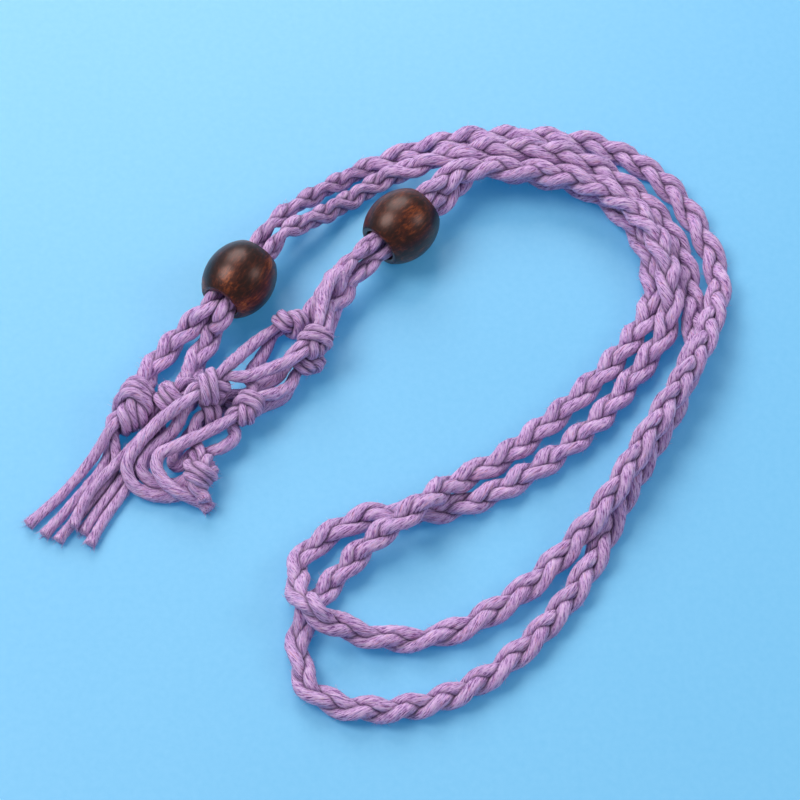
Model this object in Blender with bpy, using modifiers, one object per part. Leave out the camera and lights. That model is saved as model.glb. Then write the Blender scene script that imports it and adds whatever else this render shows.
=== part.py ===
"""Macrame pouch necklace: six waxed cotton cords tied into a net pouch, braided into two
three-cord braids and threaded through two turned wooden beads. It lies loose on a table.

Metres, +Z up. The origin is on the table, under the middle of the whole object.
"""
import math

import bmesh
import bpy
import numpy as np
from mathutils import Matrix, Vector

NAME = "macrame_pouch_necklace"

# Driving dimensions
CORD_D = 0.0020          # one waxed cotton cord
BRAID_D = 0.0040         # a braid of three such cords, as a round tube
SQUEEZED_D = 0.0025      # the same braid where a bead squeezes it
BEAD_D = 0.0120          # over the bead's belly
BEAD_LENGTH = 0.0108     # between the bead's flat ends
BEAD_FACE_D = 0.0078     # outside of each flat end
BEAD_HOLE_D = 0.0060
GAP = 0.0003             # least gap between touching pieces
TRAVEL = 0.0050          # how far each bead slides on its straight stretch of cord

SWELL_LENGTH = 0.0090    # a braid regains its thickness over this length

# Derived sizes
BEAD_HALF = BEAD_LENGTH / 2
STRAIGHT_BACK = BEAD_HALF + 0.0024
STRAIGHT_AHEAD = BEAD_HALF + TRAVEL + 0.0016
SIDE_OFFSET = (SQUEEZED_D + GAP) / 2

# Fineness
SETTLE_STEP = 0.0015     # spacing of the points while the cords settle
SETTLE_ROUNDS = 220
SETTLE_GAP = 0.00045
BRAID_STEP = 0.0056      # spacing of a braid tube's points
NECKED_STEP = 0.0016     # the same where its thickness changes
STRAND_STEP = 0.0030     # spacing of a single cord's points
BEAD_STEPS = 32
KNOT_SEGMENTS = 12
KNOT_RINGS = 8

CORD_COLOUR = (0.50, 0.27, 0.56, 1.0)
WOOD_COLOUR = (0.10, 0.032, 0.012, 1.0)

# The middle of the object in the routes' own frame, which becomes the origin
MIDDLE = Vector((-0.00011, -0.00026, 0.0))

# A bead's centre, the way it slides, and the side that braid A is on within it
SLIDER_BEAD = {
    "centre": Vector((-0.0245, 0.0223, 0.0060)),
    "slide": Vector((math.cos(math.radians(57.7)), math.sin(math.radians(57.7)), 0.0)),
    "side": Vector((-math.sin(math.radians(57.7)), math.cos(math.radians(57.7)), 0.0)),
}
POUCH_BEAD = {
    "centre": Vector((0.0027, 0.0327, 0.0060)),
    "slide": Vector((-math.cos(math.radians(46.1)), -math.sin(math.radians(46.1)), 0.0)),
    "side": Vector((-0.510, 0.490, 0.707)),
}


def passage(bead, sign):
    """The straight stretch of one braid through a bead: sign is +1 for braid A, -1 for braid B."""
    line = bead["centre"] + bead["side"].normalized() * SIDE_OFFSET * sign
    return [tuple(line + bead["slide"] * s) for s in np.linspace(-STRAIGHT_BACK, STRAIGHT_AHEAD, 8)]


# Each braid from its end knot, through the slider bead, round the loop and back through the
# pouch bead to the top of the pouch
BRAID_A = [
    (-0.0405, 0.0045, 0.0024), (-0.0375, 0.0095, 0.0020), (-0.0335, 0.0140, 0.0030),
    *passage(SLIDER_BEAD, 1),
    (-0.0132, 0.0399, 0.0030), (-0.0070, 0.0442, 0.0020), (-0.0003, 0.0477, 0.0020),
    (0.0129, 0.0525, 0.0020), (0.0259, 0.0530, 0.0020), (0.0378, 0.0509, 0.0020),
    (0.0471, 0.0448, 0.0020), (0.0539, 0.0337, 0.0020), (0.0563, 0.0248, 0.0020),
    (0.0547, 0.0162, 0.0040), (0.0513, 0.0070, 0.0062), (0.0426, -0.0080, 0.0063),
    (0.0352, -0.0206, 0.0050), (0.0304, -0.0257, 0.0025), (0.0215, -0.0340, 0.0020),
    (0.0115, -0.0402, 0.0020), (0.0030, -0.0418, 0.0020), (-0.0061, -0.0406, 0.0035),
    (-0.0111, -0.0388, 0.0063), (-0.0135, -0.0339, 0.0035), (-0.0134, -0.0284, 0.0020),
    (-0.0093, -0.0238, 0.0020), (-0.0020, -0.0197, 0.0020), (0.0047, -0.0193, 0.0020),
    (0.0117, -0.0179, 0.0020), (0.0205, -0.0141, 0.0020), (0.0328, -0.0048, 0.0020),
    (0.0430, 0.0081, 0.0020), (0.0470, 0.0151, 0.0025), (0.0476, 0.0213, 0.0052),
    (0.0462, 0.0293, 0.0060), (0.0419, 0.0363, 0.0060), (0.0336, 0.0419, 0.0060),
    (0.0230, 0.0442, 0.0060), (0.0146, 0.0439, 0.0068),
    *passage(POUCH_BEAD, 1),
    (-0.0085, 0.0215, 0.0055),
]
BRAID_B = [
    (-0.0328, 0.0055, 0.0024), (-0.0305, 0.0105, 0.0022), (-0.0285, 0.0145, 0.0034),
    *passage(SLIDER_BEAD, -1),
    (-0.0117, 0.0358, 0.0040), (-0.0060, 0.0409, 0.0020), (-0.0009, 0.0441, 0.0028),
    (0.0050, 0.0451, 0.0052), (0.0130, 0.0470, 0.0062), (0.0230, 0.0478, 0.0062),
    (0.0319, 0.0465, 0.0060), (0.0395, 0.0436, 0.0035), (0.0454, 0.0387, 0.0020),
    (0.0498, 0.0311, 0.0020), (0.0516, 0.0225, 0.0020), (0.0520, 0.0125, 0.0020),
    (0.0475, -0.0005, 0.0020), (0.0423, -0.0101, 0.0020), (0.0366, -0.0208, 0.0020),
    (0.0312, -0.0318, 0.0020), (0.0244, -0.0410, 0.0020), (0.0152, -0.0490, 0.0020),
    (0.0050, -0.0532, 0.0020), (-0.0050, -0.0535, 0.0020), (-0.0117, -0.0503, 0.0020),
    (-0.0136, -0.0445, 0.0020), (-0.0132, -0.0380, 0.0020), (-0.0079, -0.0308, 0.0020),
    (-0.0014, -0.0248, 0.0040), (0.0035, -0.0220, 0.0063), (0.0073, -0.0187, 0.0063),
    (0.0113, -0.0149, 0.0035), (0.0186, -0.0100, 0.0020), (0.0298, -0.0003, 0.0020),
    (0.0388, 0.0093, 0.0020), (0.0446, 0.0180, 0.0020), (0.0454, 0.0258, 0.0020),
    (0.0416, 0.0365, 0.0020), (0.0341, 0.0430, 0.0020), (0.0235, 0.0457, 0.0020),
    (0.0160, 0.0465, 0.0030),
    *passage(POUCH_BEAD, -1),
    (-0.0075, 0.0210, 0.0035),
]

# Each knot: its centre, the heading of its long axis in degrees, and its half length and radius
KNOTS = {
    "knot_upper_left": ((-0.0163, 0.0156, 0.0026), 35, 0.0034, 0.0022),
    "knot_upper_middle": ((-0.0116, 0.0106, 0.0062), 60, 0.0028, 0.0021),
    "knot_upper_right": ((-0.0118, 0.0082, 0.0021), 60, 0.0026, 0.0019),
    "knot_lower_left": ((-0.0288, 0.0022, 0.0062), 35, 0.0030, 0.0021),
    "knot_lower_right": ((-0.0231, -0.0005, 0.0026), 40, 0.0029, 0.0021),
    "knot_lower_back": ((-0.0287, -0.0010, 0.0020), 40, 0.0025, 0.0018),
    "bottom_knot": ((-0.0302, -0.0127, 0.0030), 110, 0.0032, 0.0024),
    "end_knot_a": ((-0.0421, -0.0003, 0.0034), 62, 0.0038, 0.0031),
    "end_knot_b": ((-0.0346, 0.0020, 0.0028), 65, 0.0030, 0.0024),
}

# Each single cord's stretch, from one knot or braid to the next, or to its cut end
STRANDS = {
    "neck_cord_1": [(-0.0098, 0.0213, 0.0048), (-0.0114, 0.0194, 0.0043), (-0.0126, 0.0182, 0.0037)],
    "neck_cord_2": [(-0.0109, 0.0225, 0.0024), (-0.0125, 0.0210, 0.0022), (-0.0140, 0.0194, 0.0022)],
    "neck_cord_3": [(-0.0092, 0.0188, 0.0075), (-0.0099, 0.0160, 0.0075), (-0.0108, 0.0140, 0.0070)],
    "neck_cord_4": [(-0.0075, 0.0185, 0.0055), (-0.0082, 0.0160, 0.0062), (-0.0092, 0.0138, 0.0064)],
    "neck_cord_5": [(-0.0088, 0.0190, 0.0018), (-0.0092, 0.0165, 0.0012), (-0.0098, 0.0140, 0.0012),
                    (-0.0106, 0.0122, 0.0014)],
    "neck_cord_6": [(-0.0066, 0.0192, 0.0012), (-0.0068, 0.0165, 0.0010), (-0.0075, 0.0132, 0.0010),
                    (-0.0086, 0.0110, 0.0012)],
    "net_cord_1": [(-0.0193, 0.0133, 0.0032), (-0.0226, 0.0106, 0.0034), (-0.0247, 0.0075, 0.0048),
                   (-0.0265, 0.0051, 0.0058)],
    "net_cord_2": [(-0.0182, 0.0121, 0.0016), (-0.0208, 0.0090, 0.0012), (-0.0218, 0.0060, 0.0012),
                   (-0.0217, 0.0032, 0.0020)],
    "net_cord_3": [(-0.0141, 0.0086, 0.0060), (-0.0191, 0.0068, 0.0052), (-0.0227, 0.0052, 0.0056),
                   (-0.0252, 0.0034, 0.0062)],
    "net_cord_4": [(-0.0148, 0.0082, 0.0030), (-0.0180, 0.0062, 0.0030), (-0.0205, 0.0046, 0.0034),
                   (-0.0240, 0.0034, 0.0020), (-0.0262, 0.0012, 0.0016)],
    "net_cord_5": [(-0.0138, 0.0056, 0.0026), (-0.0158, 0.0040, 0.0026), (-0.0180, 0.0026, 0.0026),
                   (-0.0200, 0.0012, 0.0028)],
    "net_cord_6": [(-0.0126, 0.0050, 0.0012), (-0.0148, 0.0022, 0.0010), (-0.0178, -0.0008, 0.0010),
                   (-0.0210, -0.0030, 0.0010), (-0.0242, -0.0036, 0.0010), (-0.0262, -0.0028, 0.0012)],
    "lower_cord_1": [(-0.0320, 0.0005, 0.0058), (-0.0369, -0.0036, 0.0052), (-0.0412, -0.0079, 0.0046),
                     (-0.0429, -0.0113, 0.0038), (-0.0423, -0.0143, 0.0022), (-0.0395, -0.0160, 0.0012),
                     (-0.0360, -0.0164, 0.0010), (-0.0330, -0.0158, 0.0012)],
    "lower_cord_2": [(-0.0310, -0.0006, 0.0044), (-0.0353, -0.0046, 0.0036), (-0.0395, -0.0083, 0.0026),
                     (-0.0405, -0.0112, 0.0018), (-0.0388, -0.0131, 0.0010), (-0.0360, -0.0140, 0.0010),
                     (-0.0333, -0.0137, 0.0018)],
    "lower_cord_3": [(-0.0255, -0.0024, 0.0036), (-0.0295, -0.0054, 0.0050), (-0.0338, -0.0080, 0.0052),
                     (-0.0370, -0.0097, 0.0050), (-0.0374, -0.0120, 0.0046), (-0.0358, -0.0148, 0.0038),
                     (-0.0337, -0.0162, 0.0034), (-0.0317, -0.0160, 0.0034)],
    "lower_cord_4": [(-0.0244, -0.0032, 0.0022), (-0.0258, -0.0060, 0.0020), (-0.0268, -0.0083, 0.0024),
                     (-0.0278, -0.0103, 0.0028)],
    "lower_cord_5": [(-0.0303, -0.0032, 0.0014), (-0.0318, -0.0050, 0.0012), (-0.0342, -0.0068, 0.0010),
                     (-0.0360, -0.0088, 0.0010), (-0.0352, -0.0108, 0.0012), (-0.0332, -0.0118, 0.0020)],
    "lower_cord_6": [(-0.0294, -0.0032, 0.0018), (-0.0300, -0.0062, 0.0020), (-0.0303, -0.0080, 0.0024),
                     (-0.0304, -0.0094, 0.0028)],
    "tail_a_1": [(-0.0440, -0.0036, 0.0030), (-0.0478, -0.0091, 0.0016), (-0.0531, -0.0158, 0.0010),
                 (-0.0580, -0.0212, 0.0010)],
    "tail_a_2": [(-0.0425, -0.0044, 0.0024), (-0.0461, -0.0101, 0.0012), (-0.0508, -0.0165, 0.0010),
                 (-0.0552, -0.0225, 0.0010)],
    "tail_a_3": [(-0.0410, -0.0042, 0.0020), (-0.0444, -0.0111, 0.0010), (-0.0489, -0.0182, 0.0010),
                 (-0.0527, -0.0236, 0.0010)],
    "tail_b_1": [(-0.0363, -0.0005, 0.0036), (-0.0402, -0.0055, 0.0030), (-0.0446, -0.0110, 0.0024),
                 (-0.0481, -0.0155, 0.0020), (-0.0510, -0.0213, 0.0016)],
    "tail_b_2": [(-0.0358, -0.0012, 0.0016), (-0.0397, -0.0068, 0.0012), (-0.0437, -0.0126, 0.0010),
                 (-0.0471, -0.0180, 0.0010), (-0.0495, -0.0221, 0.0010)],
    "tail_b_3": [(-0.0344, -0.0014, 0.0014), (-0.0382, -0.0077, 0.0010), (-0.0420, -0.0140, 0.0010),
                 (-0.0457, -0.0198, 0.0010), (-0.0479, -0.0243, 0.0010)],
    "cut_end_1": [(-0.0300, -0.0164, 0.0024), (-0.0294, -0.0176, 0.0014), (-0.0290, -0.0188, 0.0010)],
    "cut_end_2": [(-0.0284, -0.0158, 0.0022), (-0.0276, -0.0170, 0.0014), (-0.0270, -0.0182, 0.0010)],
}


# Routes

def smooth_curve(route, step):
    """Evenly spaced points on a centripetal Catmull-Rom curve through a route's own points."""
    knots = np.array(route, float)
    knots = np.vstack([2 * knots[0] - knots[1], knots, 2 * knots[-1] - knots[-2]])
    fine = []
    for p0, p1, p2, p3 in zip(knots, knots[1:], knots[2:], knots[3:]):
        t0 = 0.0
        t1 = t0 + math.sqrt(np.linalg.norm(p1 - p0))
        t2 = t1 + math.sqrt(np.linalg.norm(p2 - p1))
        t3 = t2 + math.sqrt(np.linalg.norm(p3 - p2))
        t = np.linspace(t1, t2, 12, endpoint=False)[:, None]
        a1 = (t1 - t) / (t1 - t0) * p0 + (t - t0) / (t1 - t0) * p1
        a2 = (t2 - t) / (t2 - t1) * p1 + (t - t1) / (t2 - t1) * p2
        a3 = (t3 - t) / (t3 - t2) * p2 + (t - t2) / (t3 - t2) * p3
        b1 = (t2 - t) / (t2 - t0) * a1 + (t - t0) / (t2 - t0) * a2
        b2 = (t3 - t) / (t3 - t1) * a2 + (t - t1) / (t3 - t1) * a3
        fine.append((t2 - t) / (t2 - t1) * b1 + (t - t1) / (t2 - t1) * b2)
    fine = np.vstack(fine + [knots[-2:-1]])
    length = arc_lengths(fine)
    count = max(3, round(length[-1] / step) + 1)
    return points_at(fine, length, np.linspace(0, length[-1], count))


def arc_lengths(points):
    return np.concatenate([[0], np.cumsum(np.linalg.norm(np.diff(points, axis=0), axis=1))])


def points_at(points, length, wanted):
    return np.stack([np.interp(wanted, length, points[:, k]) for k in range(3)], axis=1)


def held_by_beads(points):
    """Which of a braid's points are on the straight stretches that the beads slide along."""
    held = np.zeros(len(points), bool)
    for bead in (SLIDER_BEAD, POUCH_BEAD):
        away = points - np.array(bead["centre"])
        along = away @ np.array(bead["slide"])
        across = np.linalg.norm(away - np.outer(along, bead["slide"]), axis=1)
        held |= (across < SIDE_OFFSET * 1.1) & (-STRAIGHT_BACK < along) & (along < STRAIGHT_AHEAD)
    return held


def braid_radii(points, held):
    """A braid is thin in the beads and swells to its full thickness over a few millimetres."""
    away = np.linalg.norm(points[:, None] - points[held][None], axis=2).min(axis=1)
    swell = np.clip(away / SWELL_LENGTH, 0, 1)
    swell = swell * swell * (3 - 2 * swell)
    return SQUEEZED_D / 2 + (BRAID_D - SQUEEZED_D) / 2 * swell


def knot_balls():
    """Each knot as three balls in a row, for the cords to keep clear of."""
    balls = []
    for centre, heading, half, radius in KNOTS.values():
        along = np.array((math.cos(math.radians(heading)), math.sin(math.radians(heading)), 0.0))
        for k in (-1, 0, 1):
            balls.append((*(np.array(centre) + along * (half - radius) * k), radius))
    return np.array(balls)


def settle(cords):
    """Move the cords apart until each lies beside or over the others, on the table.

    cords maps a name to [points, radii, held]. The knots, and the points that a bead holds, stay."""
    names = list(cords)
    sizes = [len(cords[n][0]) for n in names]
    owner = np.repeat(np.arange(len(names)), sizes)
    place = np.concatenate([np.arange(s) for s in sizes])
    points = np.vstack([cords[n][0] for n in names])
    radii = np.concatenate([cords[n][1] for n in names])
    held = np.concatenate([cords[n][2] for n in names])
    balls = knot_balls()
    neighbours = (owner[:, None] == owner[None]) & (abs(place[:, None] - place[None]) < 8)
    reach = np.where(neighbours, 0.0, radii[:, None] + radii[None] + SETTLE_GAP)
    in_bead = (radii[:, None] + radii[None]) < SQUEEZED_D * 1.2
    reach[in_bead & (owner[:, None] < 2) & (owner[None] < 2)] -= SETTLE_GAP - GAP
    ball_reach = radii[:, None] + balls[None, :, 3] + GAP
    share = np.where(held[None], 1.0, 0.5)
    inner = np.zeros(len(points), bool)
    inner[1:-1] = (owner[1:-1] == owner[:-2]) & (owner[1:-1] == owner[2:])
    drawn = points
    shift = np.zeros_like(points)
    for ease in np.linspace(0.5, 0.02, SETTLE_ROUNDS):
        apart = points[:, None] - points[None]
        distance = np.maximum(np.linalg.norm(apart, axis=2), 1e-9)
        push = np.maximum(reach - distance, 0) * share / distance
        shift += (apart * push[:, :, None]).sum(axis=1) / np.maximum((push > 0).sum(axis=1), 1)[:, None]
        apart = points[:, None] - balls[None, :, :3]
        distance = np.maximum(np.linalg.norm(apart, axis=2), 1e-9)
        push = np.maximum(ball_reach - distance, 0) / distance
        shift += (apart * push[:, :, None]).sum(axis=1)
        mean = (np.roll(shift, 1, axis=0) + np.roll(shift, -1, axis=0)) / 2
        shift[inner] += ease * (mean - shift)[inner]
        shift[held] = 0
        shift[:, 2] = np.maximum(shift[:, 2], radii - drawn[:, 2])
        points = drawn + shift
    ends = np.cumsum([0] + sizes)
    return {n: points[a:b] for n, a, b in zip(names, ends, ends[1:])}


def settled_routes():
    cords = {}
    for name, route in (("braid_a", BRAID_A), ("braid_b", BRAID_B)):
        points = smooth_curve(route, SETTLE_STEP)
        held = held_by_beads(points)
        cords[name] = [points, braid_radii(points, held), held]
    for name, route in STRANDS.items():
        points = smooth_curve(route, SETTLE_STEP)
        cords[name] = [points, np.full(len(points), CORD_D / 2), np.zeros(len(points), bool)]
    return settle(cords)


# Solids

def material(name, colour, roughness):
    made = bpy.data.materials.new(name)
    made.use_nodes = True
    shader = made.node_tree.nodes["Principled BSDF"]
    shader.inputs["Base Color"].default_value = colour
    shader.inputs["Roughness"].default_value = roughness
    shader.inputs["Metallic"].default_value = 0.0
    made.diffuse_color = colour
    return made


def tube(name, points, radii, resolution, finish, collection):
    """A cord as a curve object with filled flat ends."""
    curve = bpy.data.curves.new(name, "CURVE")
    curve.dimensions = "3D"
    curve.bevel_depth = float(max(radii))
    curve.bevel_resolution = resolution
    curve.use_fill_caps = True
    spline = curve.splines.new("POLY")
    spline.points.add(len(points) - 1)
    for spot, place, radius in zip(spline.points, points, radii):
        spot.co = (*place, 1.0)
        spot.radius = radius / curve.bevel_depth
    curve.materials.append(finish)
    piece = bpy.data.objects.new(name, curve)
    piece.location = -MIDDLE
    collection.objects.link(piece)
    return piece


def braid_tube(name, points, finish, collection):
    held = held_by_beads(points)
    radii = braid_radii(points, held)
    length = arc_lengths(points)
    away = np.linalg.norm(points[:, None] - points[held][None], axis=2).min(axis=1)
    changing = (away > 0) & (away < SWELL_LENGTH)
    changing |= np.roll(changing, 1) | np.roll(changing, -1)
    density = np.where(changing, 1 / NECKED_STEP, 1 / BRAID_STEP)
    progress = np.concatenate([[0], np.cumsum(np.diff(length) * (density[1:] + density[:-1]) / 2)])
    wanted = np.interp(np.linspace(0, progress[-1], round(progress[-1]) + 1), progress, length)
    return tube(name, points_at(points, length, wanted), np.interp(wanted, length, radii), 3,
                finish, collection)


def strand_tube(name, points, finish, collection):
    length = arc_lengths(points)
    wanted = np.linspace(0, length[-1], max(3, round(length[-1] / STRAND_STEP) + 1))
    return tube(name, points_at(points, length, wanted), np.full(len(wanted), CORD_D / 2), 2,
                finish, collection)


def knot_solid(name, centre, heading, half, radius, finish, collection):
    """A tight overhand knot's outer shape."""
    mesh = bpy.data.meshes.new(name)
    shape = bmesh.new()
    bmesh.ops.create_uvsphere(shape, u_segments=KNOT_SEGMENTS, v_segments=KNOT_RINGS, radius=1.0)
    bmesh.ops.scale(shape, vec=(radius, radius, half), verts=shape.verts)
    bmesh.ops.rotate(shape, matrix=Matrix.Rotation(math.pi / 2, 3, "Y"), verts=shape.verts)
    shape.to_mesh(mesh)
    shape.free()
    mesh.shade_smooth()
    mesh.materials.append(finish)
    piece = bpy.data.objects.new(name, mesh)
    piece.location = Vector(centre) - MIDDLE
    piece.rotation_euler = (0, 0, math.radians(heading))
    collection.objects.link(piece)
    return piece


def bead_profile():
    """Half of a bead's section, down its outer side and up its hole."""
    outer, face, hole = BEAD_D / 2, BEAD_FACE_D / 2, BEAD_HOLE_D / 2
    reach = BEAD_HALF / math.sqrt(1 - (face / outer) ** 2)
    start = math.asin(BEAD_HALF / reach)
    profile = []
    for angle in np.linspace(start, -start, 11):
        profile.append((outer * math.cos(angle), reach * math.sin(angle)))
    ease = 0.0003
    profile.append((hole + ease, -BEAD_HALF))
    profile.append((hole, -BEAD_HALF + ease))
    profile.append((hole, BEAD_HALF - ease))
    profile.append((hole + ease, BEAD_HALF))
    return profile


def bead_solid(name, bead, finish, collection):
    """A turned barrel bead; its own Z runs along its hole, and its origin is at its centre."""
    profile = bead_profile()
    mesh = bpy.data.meshes.new(name)
    edges = [(k, (k + 1) % len(profile)) for k in range(len(profile))]
    mesh.from_pydata([(x, 0.0, z) for x, z in profile], edges, [])
    mesh.materials.append(finish)
    piece = bpy.data.objects.new(name, mesh)
    turn = piece.modifiers.new("turned", "SCREW")
    turn.steps = BEAD_STEPS
    turn.render_steps = BEAD_STEPS
    turn.use_merge_vertices = True
    turn.merge_threshold = 0.00001
    turn.use_smooth_shade = True
    piece.location = bead["centre"] - MIDDLE
    piece.rotation_euler = bead["slide"].to_track_quat("Z", "Y").to_euler()
    collection.objects.link(piece)
    return piece


def main():
    for old in list(bpy.data.objects):
        bpy.data.objects.remove(old, do_unlink=True)
    collection = bpy.data.collections.new(NAME)
    bpy.context.scene.collection.children.link(collection)
    cord = material("lilac_waxed_cotton", CORD_COLOUR, 0.85)
    wood = material("dark_varnished_wood", WOOD_COLOUR, 0.35)

    bead_solid("slider_bead", SLIDER_BEAD, wood, collection)
    bead_solid("pouch_bead", POUCH_BEAD, wood, collection)
    for name, knot in KNOTS.items():
        knot_solid(name, *knot, cord, collection)
    for name, points in settled_routes().items():
        if name.startswith("braid"):
            braid_tube(name, points, cord, collection)
        else:
            strand_tube(name, points, cord, collection)


main()
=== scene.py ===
"""Macrame pouch necklace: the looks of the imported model, in metres, +Z up.

Six waxed cotton cords, each a separate piece at the ends, are plaited three by three into two
braids, threaded through two wooden beads and tied into a small net pouch.
"""
import functools
import itertools
import math

import bpy
import numpy as np
from mathutils import Matrix, Vector


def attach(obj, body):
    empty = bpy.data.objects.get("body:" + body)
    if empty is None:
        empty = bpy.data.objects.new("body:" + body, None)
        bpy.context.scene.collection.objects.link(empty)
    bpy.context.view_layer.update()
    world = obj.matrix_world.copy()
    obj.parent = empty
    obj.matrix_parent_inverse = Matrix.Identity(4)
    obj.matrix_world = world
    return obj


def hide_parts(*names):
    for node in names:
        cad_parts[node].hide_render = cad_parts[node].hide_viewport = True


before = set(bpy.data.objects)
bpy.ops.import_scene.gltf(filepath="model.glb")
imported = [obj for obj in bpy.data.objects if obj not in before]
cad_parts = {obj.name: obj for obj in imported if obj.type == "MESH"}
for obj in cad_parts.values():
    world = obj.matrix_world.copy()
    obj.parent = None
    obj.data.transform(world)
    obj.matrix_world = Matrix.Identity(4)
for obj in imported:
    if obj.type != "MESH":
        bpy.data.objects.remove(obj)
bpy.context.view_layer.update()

# Driving dimensions
CORD_R = 0.00104         # a cord on its own
TAIL_R = 0.00085         # a tail, which is a little thinner
FRAYED = 0.0018          # length of a frayed end
FRAY = 0.16              # how much wider it is at its tip
KNOT_R = 0.00090         # a cord pulled tight in a knot
KNOT_REACH = 0.00148     # between the middles of two cords pressed together in a knot
BRAID_R = 0.00214        # half the width of a braid of three cords
PLAITED_R = 0.00098      # a cord in a braid
BRAID_CONTACT_R = 0.00198  # half the width of a braid where braids press together
BRAID_FLAT = 1.10        # how much wider a braid is than thick
BRAID_PRESS = 0.88       # how much of its thickness a braid keeps where its cords cross
PLUMP = 0.08             # how much a cord swells where it lies on top of a braid
SQUEEZED_R = 0.00125     # a braid's half width where a bead squeezes it
GRIPPED_R = 0.00082      # a cord of a braid in a bead's hole
GRIPPED_WIDE = 0.00048   # how far it moves from side to side there
GRIPPED_THICK = 0.00102  # how far it moves over and under there
PLAIT = 0.0192           # length in which each cord of a braid goes once from side to side and back
GAP = 0.0003             # between the two braids in a bead
TRAVEL = 0.0050          # how far each bead slides
SWELL_LENGTH = 0.0090    # in which a braid's route widens again beside a bead
FIBRE_ANGLE = math.radians(24)  # of a cord's twist
LOBES = ((3, 0.024), (5, 0.042), (8, 0.036))  # the twisted yarns: how many, and how high
FUZZ_R = 0.000036        # a loose fibre
FUZZ_PER_METRE = 4600
FUZZ_AT_ENDS = 900       # the same at the cut ends
FUZZ_LENGTHS = (0.00045, 0.00120)
ABOVE_TABLE = 0.00005    # the lowest that a fibre goes
FUZZ_TAPER = 0.55        # the part of its thickness that a fibre loses by its tip
FUZZ_ROOT = 0.90         # how far out in its cord a fibre starts, as a part of the radius
FUZZ_RISE = 0.55         # how steeply it leaves the cord
FUZZ_BEND = 0.35         # how much steeper it is at its tip
# Where the painted shade in a cord's creases falls
CREASE_WIDTH = 0.0007    # how far from a neighbour a cord's surface is still in its crease
CREASE_SEARCH = 0.0035   # how near a neighbour's middle has to be
CREASE_FROM_END = 0.0035  # a cord has no creases this near its ends
CREASE_FADE = 0.0030     # and they reach their full depth in this length

BEAD_R = 0.0060
BEAD_HALF = 0.0054       # half a bead's length
BEAD_FACE_R = 0.0039     # its flat ends
BEAD_HOLE_R = 0.0030
BEAD_RIM_R = 0.00030     # the eased edge round a flat end
BORE_RIM_R = 0.00035     # and round the hole
BEAD_SIDES = 80
OUT_OF_ROUND = ((2, 0.004), (5, 0.002))  # how many times round, and how much

STRAIGHT_BACK = BEAD_HALF + 0.0024
STRAIGHT_AHEAD = BEAD_HALF + TRAVEL + 0.0016
SIDE_OFFSET = SQUEEZED_R + GAP / 2
FUZZ_CLEAR = BEAD_HALF + TRAVEL + 0.0045  # no loose fibres this near a bead's middle

# Steps along curves
BRAID_STEP = 0.0015      # along a braid's route
STRAND_STEP = 0.0006     # along a cord in a braid
CORD_STEP = 0.0008       # along a cord on its own
KNOT_STEP = 0.0007       # along a cord in a knot
FINE_STEP = 0.0004       # for comparing one cord's surface with the others
SKIN_STEP = 0.00042      # between the rings of a cord's surface
SKIN_SIDES = 28          # points in each ring

rng = np.random.default_rng(7)

# The middle of the object in the routes' own frame, which is the model's origin
MIDDLE = np.array((-0.00011, -0.00026, 0.0))


# Camera, at the photograph's angle

def aim(piece, place, target):
    piece.location = place
    piece.rotation_mode = "QUATERNION"
    piece.rotation_quaternion = (Vector(target) - Vector(place)).to_track_quat("-Z", "Y")


CAMERA_ELEVATION = math.radians(62)
CAMERA_DISTANCE = 0.50
camera = bpy.data.objects.new("camera", bpy.data.cameras.new("camera"))
camera.data.lens = 135
camera.data.sensor_width = 36
camera.data.clip_start = 0.01
camera.data.clip_end = 20
bpy.context.scene.collection.objects.link(camera)
bpy.context.scene.camera = camera
aim_at = Vector((0.0025, 0.0025, 0.0)) - Vector(MIDDLE)
away = Vector((0, -math.cos(CAMERA_ELEVATION), math.sin(CAMERA_ELEVATION)))
aim(camera, aim_at + CAMERA_DISTANCE * away, aim_at)


# The routes of the cords, as in the CAD model

SLIDER_HEADING = math.radians(57.7)
SLIDER_BEAD = {
    "centre": np.array((-0.0245, 0.0223, 0.0060)),
    "slide": np.array((math.cos(SLIDER_HEADING), math.sin(SLIDER_HEADING), 0.0)),
    "side": np.array((-math.sin(SLIDER_HEADING), math.cos(SLIDER_HEADING), 0.0)),
}
POUCH_HEADING = math.radians(46.1)
POUCH_BEAD = {
    "centre": np.array((0.0027, 0.0327, 0.0060)),
    "slide": np.array((-math.cos(POUCH_HEADING), -math.sin(POUCH_HEADING), 0.0)),
    "side": np.array((-0.510, 0.490, 0.707)) / np.linalg.norm((-0.510, 0.490, 0.707)),
}


def passage(bead, sign):
    """The straight stretch of one braid through a bead: sign is +1 for braid A, -1 for braid B."""
    line = bead["centre"] + bead["side"] * SIDE_OFFSET * sign
    return [tuple(line + bead["slide"] * s) for s in np.linspace(-STRAIGHT_BACK, STRAIGHT_AHEAD, 8)]


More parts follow.
